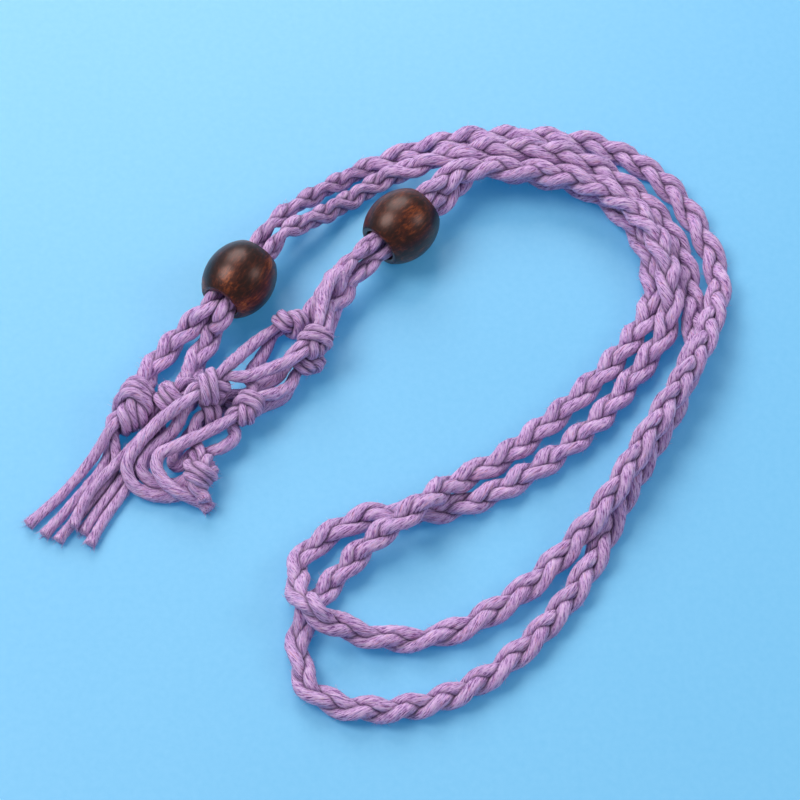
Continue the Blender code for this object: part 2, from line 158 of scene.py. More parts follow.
BRAID_A = [
    (-0.0405, 0.0045, 0.0024), (-0.0375, 0.0095, 0.0020), (-0.0335, 0.0140, 0.0030),
    *passage(SLIDER_BEAD, 1),
    (-0.0132, 0.0399, 0.0030), (-0.0070, 0.0442, 0.0020), (-0.0003, 0.0477, 0.0020),
    (0.0129, 0.0525, 0.0020), (0.0259, 0.0530, 0.0020), (0.0378, 0.0509, 0.0020),
    (0.0471, 0.0448, 0.0020), (0.0539, 0.0337, 0.0020), (0.0563, 0.0248, 0.0020),
    (0.0547, 0.0162, 0.0040), (0.0513, 0.0070, 0.0062), (0.0426, -0.0080, 0.0063),
    (0.0352, -0.0206, 0.0050), (0.0304, -0.0257, 0.0025), (0.0215, -0.0340, 0.0020),
    (0.0115, -0.0402, 0.0020), (0.0030, -0.0418, 0.0020), (-0.0061, -0.0406, 0.0035),
    (-0.0111, -0.0388, 0.0063), (-0.0135, -0.0339, 0.0035), (-0.0134, -0.0284, 0.0020),
    (-0.0093, -0.0238, 0.0020), (-0.0020, -0.0197, 0.0020), (0.0047, -0.0193, 0.0020),
    (0.0117, -0.0179, 0.0020), (0.0205, -0.0141, 0.0020), (0.0328, -0.0048, 0.0020),
    (0.0430, 0.0081, 0.0020), (0.0470, 0.0151, 0.0025), (0.0476, 0.0213, 0.0052),
    (0.0462, 0.0293, 0.0060), (0.0419, 0.0363, 0.0060), (0.0336, 0.0419, 0.0060),
    (0.0230, 0.0442, 0.0060), (0.0146, 0.0439, 0.0068),
    *passage(POUCH_BEAD, 1),
    (-0.0085, 0.0215, 0.0055),
]
BRAID_B = [
    (-0.0328, 0.0055, 0.0024), (-0.0305, 0.0105, 0.0022), (-0.0285, 0.0145, 0.0034),
    *passage(SLIDER_BEAD, -1),
    (-0.0117, 0.0358, 0.0040), (-0.0060, 0.0409, 0.0020), (-0.0009, 0.0441, 0.0028),
    (0.0050, 0.0451, 0.0052), (0.0130, 0.0470, 0.0062), (0.0230, 0.0478, 0.0062),
    (0.0319, 0.0465, 0.0060), (0.0395, 0.0436, 0.0035), (0.0454, 0.0387, 0.0020),
    (0.0498, 0.0311, 0.0020), (0.0516, 0.0225, 0.0020), (0.0520, 0.0125, 0.0020),
    (0.0475, -0.0005, 0.0020), (0.0423, -0.0101, 0.0020), (0.0366, -0.0208, 0.0020),
    (0.0312, -0.0318, 0.0020), (0.0244, -0.0410, 0.0020), (0.0152, -0.0490, 0.0020),
    (0.0050, -0.0532, 0.0020), (-0.0050, -0.0535, 0.0020), (-0.0117, -0.0503, 0.0020),
    (-0.0136, -0.0445, 0.0020), (-0.0132, -0.0380, 0.0020), (-0.0079, -0.0308, 0.0020),
    (-0.0014, -0.0248, 0.0040), (0.0035, -0.0220, 0.0063), (0.0073, -0.0187, 0.0063),
    (0.0113, -0.0149, 0.0035), (0.0186, -0.0100, 0.0020), (0.0298, -0.0003, 0.0020),
    (0.0388, 0.0093, 0.0020), (0.0446, 0.0180, 0.0020), (0.0454, 0.0258, 0.0020),
    (0.0416, 0.0365, 0.0020), (0.0341, 0.0430, 0.0020), (0.0235, 0.0457, 0.0020),
    (0.0160, 0.0465, 0.0030),
    *passage(POUCH_BEAD, -1),
    (-0.0075, 0.0210, 0.0035),
]

# Each knot: how many cords it ties, its centre, the heading of its axis in degrees (the way the
# cords leave it), its roll about that axis, its size, and whether it is tied left-handed
KNOTS = {
    "knot_upper_left": (2, (-0.0158, 0.0153, 0.0032), 203, 185, 0.84, False),
    "knot_upper_middle": (2, (-0.0116, 0.0100, 0.0066), 232, 60, 0.80, True),
    "knot_upper_right": (2, (-0.0128, 0.0077, 0.0030), 230, 140, 0.72, False),
    "knot_lower_left": (2, (-0.0284, 0.0014, 0.0068), 215, 45, 0.88, False),
    "knot_lower_right": (2, (-0.0227, -0.0014, 0.0046), 222, 100, 0.80, True),
    "knot_lower_back": (2, (-0.0286, -0.0010, 0.0026), 225, 10, 0.85, False),
    "bottom_knot": (3, (-0.0301, -0.0126, 0.0034), 263, 80, 0.76, False),
    "end_knot_a": (3, (-0.0416, -0.0008, 0.0038), 238, 120, 1.0, True),
    "end_knot_b": (3, (-0.0343, 0.0014, 0.0032), 235, 110, 0.90, False),
}


# Curves

def arc_lengths(points):
    return np.concatenate([[0], np.cumsum(np.linalg.norm(np.diff(points, axis=0), axis=1))])


def values_at(values, length, wanted):
    if np.ndim(values) == 1:
        return np.interp(wanted, length, values)
    return np.stack([np.interp(wanted, length, v) for v in np.transpose(values)], axis=1)


def smooth_curve(route, step):
    """Evenly spaced points on a centripetal Catmull-Rom curve through a route's own points."""
    knots = np.array(route, float)
    knots = np.vstack([2 * knots[0] - knots[1], knots, 2 * knots[-1] - knots[-2]])
    p0, p1, p2, p3 = knots[:-3], knots[1:-2], knots[2:-1], knots[3:]
    t1 = np.sqrt(np.linalg.norm(p1 - p0, axis=1))[:, None]
    t2 = t1 + np.sqrt(np.linalg.norm(p2 - p1, axis=1))[:, None]
    t3 = t2 + np.sqrt(np.linalg.norm(p3 - p2, axis=1))[:, None]
    fine = []
    for part in np.linspace(0, 1, 12, endpoint=False):
        t = t1 + (t2 - t1) * part
        a1 = (t1 - t) / t1 * p0 + t / t1 * p1
        a2 = (t2 - t) / (t2 - t1) * p1 + (t - t1) / (t2 - t1) * p2
        a3 = (t3 - t) / (t3 - t2) * p2 + (t - t2) / (t3 - t2) * p3
        b1 = (t2 - t) / t2 * a1 + t / t2 * a2
        b2 = (t3 - t) / (t3 - t1) * a2 + (t - t1) / (t3 - t1) * a3
        fine.append((t2 - t) / (t2 - t1) * b1 + (t - t1) / (t2 - t1) * b2)
    fine = np.vstack([np.stack(fine, axis=1).reshape(-1, 3), knots[-2:-1]])
    return evened(fine, max(3, round(arc_lengths(fine)[-1] / step) + 1))


def evened(line, count):
    """The same line with that many evenly spaced points."""
    length = arc_lengths(line)
    return values_at(line, length, np.linspace(0, length[-1], count))


def resampled(points, radii, step):
    """A cord's middle every step, with how far along each point is and its radius there."""
    middle = smooth_curve(points, step)
    length, old = arc_lengths(middle), arc_lengths(points)
    return middle, length, np.interp(length / length[-1], old / old[-1], radii)


def held_by_beads(points):
    """Which points lie in a bead or in its travel."""
    held = np.zeros(len(points), bool)
    for bead in (SLIDER_BEAD, POUCH_BEAD):
        away = points - bead["centre"]
        along = away @ bead["slide"]
        across = np.linalg.norm(away - np.outer(along, bead["slide"]), axis=1)
        held |= (across < SIDE_OFFSET * 1.1) & (-STRAIGHT_BACK < along) & (along < STRAIGHT_AHEAD)
    return held


def eased(part):
    """0 to 1 with a gentle start and end."""
    return part * part * (3 - 2 * part)


def swelling(points, held):
    """0 where a bead squeezes a braid, rising to 1 a few millimetres away."""
    away = np.linalg.norm(points[:, None] - points[held][None], axis=2).min(axis=1)
    return eased(np.clip(away / SWELL_LENGTH, 0, 1))


SETTLE_SEARCH = 0.0012   # how far apart cords may be and still be compared


def settle(cords, gap, rounds, skip, flat=1.0, first_ease=0.5):
    """Move cords apart until each lies beside or over the others, on the table.

    cords is a list of [points, radii, held]; skip is how many neighbours along a cord don't
    touch, and flat is how much wider than thick a cord is."""
    sizes = [len(c[0]) for c in cords]
    owner = np.repeat(np.arange(len(cords)), sizes)
    place = np.concatenate([np.arange(s) for s in sizes])
    stretch = np.array((1, 1, flat))
    points = np.vstack([c[0] for c in cords]) * stretch
    radii = np.concatenate([c[1] for c in cords])
    held = np.concatenate([c[2] for c in cords])
    inner = np.zeros(len(points), bool)
    inner[1:-1] = (owner[1:-1] == owner[:-2]) & (owner[1:-1] == owner[2:])
    drawn = points
    shift = np.zeros_like(points)
    for turn, ease in enumerate(np.linspace(first_ease, 0.02, rounds)):
        if turn % 8 == 0:
            square = (points * points).sum(axis=1)
            apart = square[:, None] + square[None] - 2 * points @ points.T
            near = apart < (radii[:, None] + radii[None] + 4 * gap + SETTLE_SEARCH) ** 2
            near &= (owner[:, None] != owner[None]) | (abs(place[:, None] - place[None]) > skip)
            near &= ~(held[:, None] & held[None])
            i, j = np.nonzero(np.triu(near))
            reach = radii[i] + radii[j] + gap
            give_i = np.where(held[i], 0.0, np.where(held[j], 1.0, 0.5))
            give_j = np.where(held[j], 0.0, np.where(held[i], 1.0, 0.5))
        apart = points[i] - points[j]
        distance = np.maximum(np.linalg.norm(apart, axis=1), 1e-9)
        push = apart * (np.maximum(reach - distance, 0) / distance)[:, None]
        touching = distance < reach
        touches = np.bincount(i, touching, len(points)) + np.bincount(j, touching, len(points))
        for axis in range(3):
            moved = (np.bincount(i, push[:, axis] * give_i, len(points))
                     - np.bincount(j, push[:, axis] * give_j, len(points)))
            shift[:, axis] += moved / np.maximum(touches, 1)
        mean = (np.roll(shift, 1, axis=0) + np.roll(shift, -1, axis=0)) / 2
        shift[inner] += ease * (mean - shift)[inner]
        shift[held] = 0
        shift[:, 2] = np.where(held, 0, np.maximum(shift[:, 2], radii - drawn[:, 2]))
        points = drawn + shift
    ends = np.cumsum([0] + sizes)
    return [points[a:b] / stretch for a, b in zip(ends, ends[1:])]


# Knots, pulled tight

@functools.cache
def relaxer(count, tension):
    """A matrix that moves a cord's points towards a straight line between its ends."""
    rows = np.eye(count)
    inside = np.arange(1, count - 1)
    rows[inside, inside] += 2 * tension
    rows[inside, inside - 1] -= tension
    rows[inside, inside + 1] -= tension
    return np.linalg.inv(rows)


def pull_tight(cords, ends, reach, rounds, tensions):
    """Draw cords tight towards their ends, none nearer to itself or another than reach."""
    cords = np.array(cords)
    strands, count = cords.shape[:2]
    owner = np.repeat(np.arange(strands), count)
    place = np.tile(np.arange(count), strands)
    start = cords[:, [0, -1]].copy()
    for turn in range(rounds):
        part = turn / rounds
        slack = cords
        move = relaxer(count, tensions[0 if part < 0.7 else 1]) @ slack - slack
        size = np.linalg.norm(move, axis=2, keepdims=True) + 1e-12
        cords = slack + move * np.minimum(1, 0.22 * reach / size)
        spots = start + (ends - start) * min(1, part / 0.4)
        spacing = np.linalg.norm(np.diff(cords, axis=1), axis=2).mean()
        skip = max(2, math.ceil(reach * 1.3 / spacing))
        free = (owner[:, None] != owner[None]) | (abs(place[:, None] - place[None]) > skip)
        for _ in range(3):
            cords[:, [0, -1]] = spots
            points = cords.reshape(-1, 3)
            square = (points * points).sum(axis=1)
            distance = square[:, None] + square[None] - 2 * points @ points.T
            distance = np.sqrt(np.maximum(distance, 1e-14))
            push = np.where(free, np.maximum(reach - distance, 0) / distance * 0.5, 0)
            touches = np.sqrt(np.maximum((push > 0).sum(axis=1), 1))
            shift = points * push.sum(axis=1)[:, None] - push @ points
            points = points + shift / touches[:, None]
            cords = points.reshape(strands, count, 3)
        cords[:, [0, -1]] = spots
    return cords


KNOT_POINTS = 96
KNOT_ENDS = 0.011        # how far from a knot's middle its cords are drawn to
KNOT_CORE = 0.003        # half the length of its tied middle


def overhand(strands, reach, bundle):
    """Cords side by side in one overhand knot along +X, its middle at the origin.

    A trefoil of one thick line, bundle across, is drawn tight first, and then the cords in it."""
    t = np.linspace(-2.15, 2.15, 1600)
    line = np.stack([t**5 - 10 * t, t**3 - 3 * t, t**4 - 4 * t**2], axis=1)
    line = line * np.array((0.45, 1.8, 1.2)) * bundle
    line = evened(line, KNOT_POINTS)
    ends = np.array([[(-KNOT_ENDS, 0, 0), (KNOT_ENDS, 0, 0)]])
    line = pull_tight(line[None], ends, bundle, 600, (2.0, 0.6))[0]
    line = evened(line, KNOT_POINTS)
    _, normal, side = frames(line, (0, 0, 1))
    across = reach / (2 * math.sin(math.pi / strands)) * 0.9
    cords = []
    for k in range(strands):
        angle = 2 * math.pi * k / strands
        cords.append(line + (normal * math.cos(angle) + side * math.sin(angle)) * across)
    cords = np.array(cords)
    cords = pull_tight(cords, cords[:, [0, -1]].copy(), reach, 120, (1.0, 0.3))
    core = cords.reshape(-1, 3)
    core = core[abs(core[:, 0] - np.median(core[:, 0])) < KNOT_CORE]
    return cords - core.mean(axis=0)


def frames(line, first):
    """Tangents with two directions across them that turn as little as they can."""
    tangent = np.gradient(line, axis=0)
    tangent /= np.linalg.norm(tangent, axis=1)[:, None]
    normal = np.zeros_like(line)
    last = np.array(first, float)
    for k, along in enumerate(tangent):
        last = last - along * (last @ along)
        last /= np.linalg.norm(last)
        normal[k] = last
    return tangent, normal, np.cross(tangent, normal)


# Knots of two and of three cords, and how far from its middle each is cut off
TIED = {2: overhand(2, KNOT_REACH, 0.0026), 3: overhand(3, KNOT_REACH, 0.0032)}
KNOT_TRIM = {2: 0.0038, 3: 0.0042}


def through(knot, lane):
    """One cord's points through a knot, in the routes' frame."""
    strands, centre, heading, roll, size, left_handed = KNOTS[knot]
    line = TIED[strands][lane]
    inside = np.nonzero(abs(line[:, 0]) < KNOT_TRIM[strands])[0]
    line = line[inside[0]:inside[-1] + 1] * size
    if left_handed:
        line[:, 1] *= -1
    turn = Matrix.Rotation(math.radians(heading), 3, "Z")
    turn = turn @ Matrix.Rotation(math.radians(roll), 3, "X")
    return line @ np.array(turn).T + np.array(centre)


# Braids

FULL_WIDE = BRAID_R - PLAITED_R  # how far a cord moves from side to side in a free braid
FULL_THICK = (BRAID_R / BRAID_FLAT - PLAITED_R) * BRAID_PRESS  # and over and under


def wobble(length, period, size, source):
    """Slow, smooth unevenness along a cord."""
    made = np.zeros_like(length)
    for k in range(4):
        wave = period * source.uniform(0.6, 1.9)
        start = source.uniform(0, 2 * math.pi)
        made += np.sin(length * 2 * math.pi / wave + start) * source.uniform(0.4, 1)
    return made * size / 1.6


def braid_lines():
    """The middle line of each braid, settled on the table and on the other."""
    cords = []
    for route in (BRAID_A, BRAID_B):
        points = smooth_curve(route, BRAID_STEP)
        held = held_by_beads(points)
        radii = SQUEEZED_R + (BRAID_CONTACT_R - SQUEEZED_R) * swelling(points, held)
        cords.append([points, radii, held])
    return settle(cords, 0.00002, 200, 8, flat=BRAID_FLAT)


NEAR_BEAD = 0.030        # a point this far from a bead isn't in it
BEHIND_FROM, BEHIND_OVER = -0.0004, 0.0032  # where a plait widens behind a bead, over what
AHEAD_FROM, AHEAD_OVER = 0.0008, 0.0040  # and the same ahead of its travel


def plait_swelling(points):
    """0 where a bead is, or slides, rising to 1 over a few millimetres on either side."""
    swell = np.ones(len(points))
    for bead in (SLIDER_BEAD, POUCH_BEAD):
        away = points - bead["centre"]
        along = away @ bead["slide"]
        near = np.linalg.norm(away, axis=1) < NEAR_BEAD
        behind = (-along - BEAD_HALF - BEHIND_FROM) / BEHIND_OVER
        ahead = (along - BEAD_HALF - TRAVEL - AHEAD_FROM) / AHEAD_OVER
        rise = np.clip(np.maximum(behind, ahead), 0, 1)
        swell = np.where(near, np.minimum(swell, eased(rise)), swell)
    return swell


ROLLED = (0.05, 0.38)    # how a braid rolls from side to side: period and angle
PITCH_UNEVEN = (0.03, 0.09)  # how its pitch varies: period and part
WIDTH_UNEVEN = (0.02, 0.09)
THICKNESS_UNEVEN = (0.02, 0.08)
LOOSE_PITCH = 0.18       # how much longer the pitch is where a braid is loosely plaited
LOOSE_FADE = 0.03        # the part of its length over which that comes and goes
TURNED_FLAT = (0.020, 0.008)  # near a bead it doesn't roll: within, and fading over


def plait(line, loose_from, loose_to, source):
    """The three cords of a braid along its middle line, with the radius of each at each point.

    The braid is loosely plaited between two parts of its length, from 0 to 1."""
    points = smooth_curve(line, STRAND_STEP)
    length = arc_lengths(points)
    swell = plait_swelling(points)
    tangent = np.gradient(points, axis=0)
    tangent /= np.linalg.norm(tangent, axis=1)[:, None]
    side = np.cross((0, 0, 1), tangent)
    side /= np.linalg.norm(side, axis=1)[:, None]
    normal = np.cross(tangent, side)
    roll = wobble(length, *ROLLED, source) * swell
    for bead in (SLIDER_BEAD, POUCH_BEAD):
        near = np.linalg.norm(points - bead["centre"], axis=1)
        at = np.argmin(near)
        tilt = math.atan2(bead["side"] @ normal[at], bead["side"] @ side[at])
        tilt = (tilt + math.pi / 2) % math.pi - math.pi / 2
        roll += tilt * np.clip((TURNED_FLAT[0] - near) / TURNED_FLAT[1], 0, 1)
    roll = roll[:, None]
    side, normal = (side * np.cos(roll) + normal * np.sin(roll),
                    normal * np.cos(roll) - side * np.sin(roll))
    part = length / length[-1]
    loose = np.clip((part - loose_from) / LOOSE_FADE, 0, 1)
    loose = loose * np.clip((loose_to - part) / LOOSE_FADE, 0, 1)
    pitch = PLAIT * (1 + LOOSE_PITCH * loose + wobble(length, *PITCH_UNEVEN, source))
    phase = np.cumsum(np.gradient(length) * 2 * math.pi / pitch)
    radii = GRIPPED_R + (PLAITED_R - GRIPPED_R) * swell
    wide = GRIPPED_WIDE + (FULL_WIDE - GRIPPED_WIDE) * swell
    thick = GRIPPED_THICK + (FULL_THICK - GRIPPED_THICK) * swell
    strands = []
    for k in range(3):
        turn = phase + 2 * math.pi * k / 3
        across = (np.sin(turn) - 0.10 * np.sin(3 * turn)) * wide
        across *= 1 + wobble(length, *WIDTH_UNEVEN, source) * swell
        over = np.sin(2 * turn) * thick * (1 + wobble(length, *THICKNESS_UNEVEN, source) * swell)
        plump = radii * (1 + PLUMP * np.sin(2 * turn) * swell)
        strand = points + side * across[:, None] + normal * over[:, None]
        strand[:, 2] = np.maximum(strand[:, 2], plump * 0.97)
        strands.append((strand, plump))
    return strands


BRAID_LINES = dict(zip(("braid_a", "braid_b"), braid_lines()))
BRAID_STRANDS = {
    "braid_a": plait(BRAID_LINES["braid_a"], 0.45, 0.66, np.random.default_rng(11)),
    "braid_b": plait(BRAID_LINES["braid_b"], 0.55, 0.60, np.random.default_rng(12)),
}


# The net's cords and the tails: each is drawn through its knots, and then they settle together

NET_CORDS = {
    "net_cord_1": [("knot_upper_left", 0), (-0.0226, 0.0106, 0.0036), (-0.0243, 0.0078, 0.0052),
                   ("knot_lower_left", 0), (-0.0366, -0.0040, 0.0052), (-0.0404, -0.0081, 0.0044),
                   (-0.0422, -0.0115, 0.0034), (-0.0416, -0.0140, 0.0020), (-0.0394, -0.0153, 0.0012),
                   (-0.0368, -0.0158, 0.0010), (-0.0340, -0.0157, 0.0010), (-0.0320, -0.0152, 0.0010)],
    "net_cord_2": [("knot_upper_left", 1), (-0.0204, 0.0102, 0.0014), (-0.0219, 0.0074, 0.0018),
                   (-0.0223, 0.0048, 0.0030),
                   ("knot_lower_right", 0), (-0.0295, -0.0064, 0.0050), (-0.0338, -0.0086, 0.0050),
                   (-0.0367, -0.0101, 0.0048), (-0.0372, -0.0121, 0.0044), (-0.0360, -0.0142, 0.0036),
                   (-0.0342, -0.0156, 0.0030), (-0.0316, -0.0164, 0.0022), (-0.0296, -0.0170, 0.0014),
                   (-0.0287, -0.0181, 0.0011)],
    "net_cord_3": [("knot_upper_middle", 0), (-0.0189, 0.0055, 0.0056), (-0.0228, 0.0036, 0.0062),
                   ("knot_lower_left", 1), (-0.0349, -0.0050, 0.0036), (-0.0388, -0.0086, 0.0026),
                   (-0.0402, -0.0112, 0.0018), (-0.0389, -0.0131, 0.0011), (-0.0363, -0.0141, 0.0010),
                   (-0.0338, -0.0140, 0.0011), (-0.0318, -0.0132, 0.0010)],
    "net_cord_4": [("knot_upper_middle", 1), (-0.0180, 0.0052, 0.0030), (-0.0208, 0.0038, 0.0032),
                   (-0.0238, 0.0026, 0.0022), ("knot_lower_back", 0), (-0.0326, -0.0058, 0.0014),
                   (-0.0343, -0.0080, 0.0011), (-0.0346, -0.0102, 0.0012), (-0.0332, -0.0108, 0.0018),
                   (-0.0316, -0.0090, 0.0026), ("bottom_knot", 0)],
    "net_cord_5": [("knot_upper_right", 0), (-0.0158, 0.0034, 0.0030), (-0.0180, 0.0018, 0.0036),
                   ("knot_lower_right", 1), (-0.0247, -0.0056, 0.0026), (-0.0264, -0.0080, 0.0032),
                   ("bottom_knot", 1), (-0.0296, -0.0165, 0.0026), (-0.0293, -0.0176, 0.0024)],
    "net_cord_6": [("knot_upper_right", 1), (-0.0166, 0.0028, 0.0011), (-0.0204, 0.0006, 0.0010),
                   (-0.0238, -0.0006, 0.0010), ("knot_lower_back", 1),
                   (-0.0316, -0.0058, 0.0022), ("bottom_knot", 2)],
}
NECK = {
    "net_cord_1": [(-0.0108, 0.0194, 0.0050)],
    "net_cord_2": [(-0.0113, 0.0202, 0.0026)],
    "net_cord_3": [(-0.0103, 0.0164, 0.0068)],
    "net_cord_4": [(-0.0096, 0.0172, 0.0054)],
    "net_cord_5": [(-0.0109, 0.0160, 0.0016)],
    "net_cord_6": [(-0.0094, 0.0156, 0.0022)],
}
TAILS = {
    "tail_a_1": [("end_knot_a", 0), (-0.0478, -0.0091, 0.0016), (-0.0531, -0.0158, 0.0009),
                 (-0.0580, -0.0210, 0.0009)],
    "tail_a_2": [("end_knot_a", 1), (-0.0461, -0.0101, 0.0012), (-0.0508, -0.0169, 0.0009),
                 (-0.0553, -0.0228, 0.0009)],
    "tail_a_3": [("end_knot_a", 2), (-0.0444, -0.0111, 0.0010), (-0.0489, -0.0182, 0.0009),
                 (-0.0530, -0.0238, 0.0009)],
    "tail_b_1": [("end_knot_b", 0), (-0.0398, -0.0055, 0.0028), (-0.0442, -0.0110, 0.0024),
                 (-0.0479, -0.0158, 0.0020), (-0.0509, -0.0216, 0.0016)],
    "tail_b_2": [("end_knot_b", 1), (-0.0393, -0.0068, 0.0012), (-0.0433, -0.0126, 0.0009),
                 (-0.0467, -0.0180, 0.0009), (-0.0491, -0.0224, 0.0009)],
    "tail_b_3": [("end_knot_b", 2), (-0.0380, -0.0077, 0.0010), (-0.0418, -0.0140, 0.0009),
                 (-0.0455, -0.0198, 0.0009), (-0.0478, -0.0245, 0.0009)],
}


def drawn_through(start, items):
    """A cord's route points from its braid, through its knots and free stretches, with the size
    of the knot that each is in, or 0."""
    route, tight = list(start), [0.0] * len(start)
    for item in items:
        if isinstance(item[0], str):
            line = through(*item)
            line = evened(line, round(arc_lengths(line)[-1] / KNOT_STEP))
            route += [tuple(p) for p in line]
            tight += [KNOTS[item[0]][4]] * len(line)
        else:
            route.append(item)
            tight.append(0.0)
    return np.array(route), np.array(tight)


def matched(starts, names, first_points):
    """Which of a braid's cords goes on as which, so that they cross least."""
    best = None
    for order in itertools.permutations(range(3)):
        total = sum(np.linalg.norm(starts[o] - first_points[n]) for o, n in zip(order, names))
        if best is None or total < best[0]:
            best = (total, order)
    return dict(zip(names, best[1]))


KNOT_HOLD = 0.0005       # a cord is fully drawn tight this far out of a knot
KNOT_FADE = 0.002        # and is itself again after this


def settled_cords():
    """Every net cord and tail as its points and radii, settled on the table and on the others."""
    routes = {}
    for stem, numbers, braid, at_end, table in (
            ("net_cord_", "123", "braid_a", True, NET_CORDS),
            ("net_cord_", "456", "braid_b", True, NET_CORDS),
            ("tail_a_", "123", "braid_a", False, TAILS),
            ("tail_b_", "123", "braid_b", False, TAILS)):
        names = [stem + number for number in numbers]
        strands = [strand for strand, _ in BRAID_STRANDS[braid]]
        ends = [s[[-6, -1]] if at_end else s[[5, 0]] for s in strands]
        first = {n: np.array(NECK[n][0]) if at_end else through(*table[n][0])[0] for n in names}
        order = matched([e[1] for e in ends], names, first)
        for n in names:
            start = [tuple(p) for p in ends[order[n]]] + NECK.get(n, [])
            routes[n] = drawn_through(start, table[n])
    cords, drawn = [], {}
    for name, (route, tight) in routes.items():
        points = smooth_curve(route, CORD_STEP)
        away = np.linalg.norm(points[:, None] - route[tight > 0][None], axis=2)
        grip = 1 - np.clip((away.min(axis=1) - KNOT_HOLD) / KNOT_FADE, 0, 1)
        size = tight[tight > 0][away.argmin(axis=1)]
        free_r = TAIL_R if name.startswith("tail") else CORD_R
        held = np.zeros(len(points), bool)
        held[:2] = True
        cords.append([points, free_r + (KNOT_REACH / 2 * size - free_r) * grip, held])
        drawn[name] = free_r + (KNOT_R * np.sqrt(size) - free_r) * grip
        left = np.linalg.norm(points - points[-1], axis=1)
        drawn[name] *= 1 + FRAY * np.clip(1 - left / FRAYED, 0, 1)
    settled = settle(cords, 0.0, 160, 3, first_ease=0.3)
    return {name: (points, drawn[name]) for name, points in zip(routes, settled)}


SETTLED = settled_cords()
BRAIDED = {braid: [f"{braid}_{k}" for k in (1, 2, 3)] for braid in BRAID_STRANDS}

# Every cord's middle and radii, by name
CORDS = {}
for braid, names in BRAIDED.items():
    CORDS.update(zip(names, BRAID_STRANDS[braid]))
CORDS.update(SETTLED)


# Solids

cord_mat = bpy.data.materials.new("lilac_waxed_cotton")
wood_mat = bpy.data.materials.new("dark_varnished_wood")


def ring_faces(rings, sides, base):
    """Quads between neighbouring rings of points."""
    k, m = np.meshgrid(np.arange(rings - 1), np.arange(sides), indexing="ij")
    low, turned = base + k * sides + m, base + k * sides + (m + 1) % sides
    return np.stack([low, turned, turned + sides, low + sides], axis=-1).reshape(-1, 4)


def sampled_cords():
    """Places along every cord's middle, with the cord's number, its radius there and how far
    along the cord each is."""
    places, owners, sizes, lengths = [], [], [], []
    for number, (points, radii) in enumerate(CORDS.values()):
        middle, length, size = resampled(points, radii, FINE_STEP)
        places.append(middle)
        owners.append(np.full(len(middle), number))
        sizes.append(size)
        lengths.append(length)
    return [np.concatenate(part) for part in (places, owners, sizes, lengths)]


PLACES, OWNERS, SIZES, LENGTHS = sampled_cords()


CREASE_BLOCK = 64        # rings compared at a time, to save memory


def creases(name, middle, skin):
    """Where painted shade goes: 1 where a cord's surface presses on another cord, or on itself,
    falling to 0 beside it.
    """
    length = arc_lengths(middle)
    other = OWNERS != list(CORDS).index(name)
    made = np.zeros(skin.shape[:2])
    for block in np.array_split(np.arange(len(middle)), len(middle) // CREASE_BLOCK + 1):
        near = np.linalg.norm(middle[block][:, None] - PLACES[None], axis=2) < CREASE_SEARCH
        near &= other[None] | (abs(LENGTHS[None] - length[block][:, None]) > CREASE_SEARCH)
        for ring, close in zip(block, near):
            if close.any():
                gap = np.linalg.norm(skin[ring][:, None] - PLACES[close][None], axis=2)
                gap = (gap - SIZES[close]).min(axis=1)
                made[ring] = np.clip(1 - gap / CREASE_WIDTH, 0, 1)
    from_end = np.minimum(length, length[-1] - length)
    return made * np.clip((from_end - CREASE_FROM_END) / CREASE_FADE, 0, 1)[:, None]


FIRST_NORMAL = (0.1, 0.2, 1.0)  # the way that frames() starts across a cord


def cord_skin(points, radii, source):
    """A twisted cord's surface: rings of points, with where each lies on the cord's fibres."""
    middle, length, size = resampled(points, radii, SKIN_STEP)
    tangent, normal, side = frames(middle, FIRST_NORMAL)
    angle = np.linspace(0, 2 * math.pi, SKIN_SIDES, endpoint=False)[None]
    turn = angle + length[:, None] / CORD_R * math.tan(FIBRE_ANGLE)
    bundle = np.zeros_like(turn)
    for lobes, height in LOBES:
        drift = wobble(length, 0.006, 1.6, source)[:, None]
        swell = 1 + wobble(length, 0.003, 0.6, source)[:, None]
        bundle += height * swell * np.cos(lobes * turn + drift)
    size = size * (1 + wobble(length, 0.008, 0.030, source))
    angle = angle[:, :, None]
    out = normal[:, None] * np.cos(angle) + side[:, None] * np.sin(angle)
    skin = middle[:, None] + out * (size[:, None] * (1 + bundle))[:, :, None]
    along = np.broadcast_to(length[:, None] / CORD_R, turn.shape)
    fibre = np.stack([np.cos(turn), np.sin(turn), along + source.uniform(0, 900)], axis=2)
    return middle, tangent, size, skin, fibre


def mesh_piece(name, places, faces, vectors, attribute, finish, crease_shade=None):
    """A smooth mesh with a vector for its finish at each point, and perhaps how much painted crease
    shade each point takes.
    """
    mesh = bpy.data.meshes.new(name)
    mesh.from_pydata(np.asarray(places).tolist(), [], faces)
    held = mesh.attributes.new(attribute, "FLOAT_VECTOR", "POINT")
    held.data.foreach_set("vector", np.asarray(vectors, np.float32).ravel())
    if crease_shade is not None:
        held = mesh.attributes.new("crease_shade", "FLOAT", "POINT")
        held.data.foreach_set("value", np.asarray(crease_shade, np.float32))
    mesh.shade_smooth()
    mesh.materials.append(finish)
    piece = bpy.data.objects.new(name, mesh)
    bpy.context.scene.collection.objects.link(piece)
    return piece


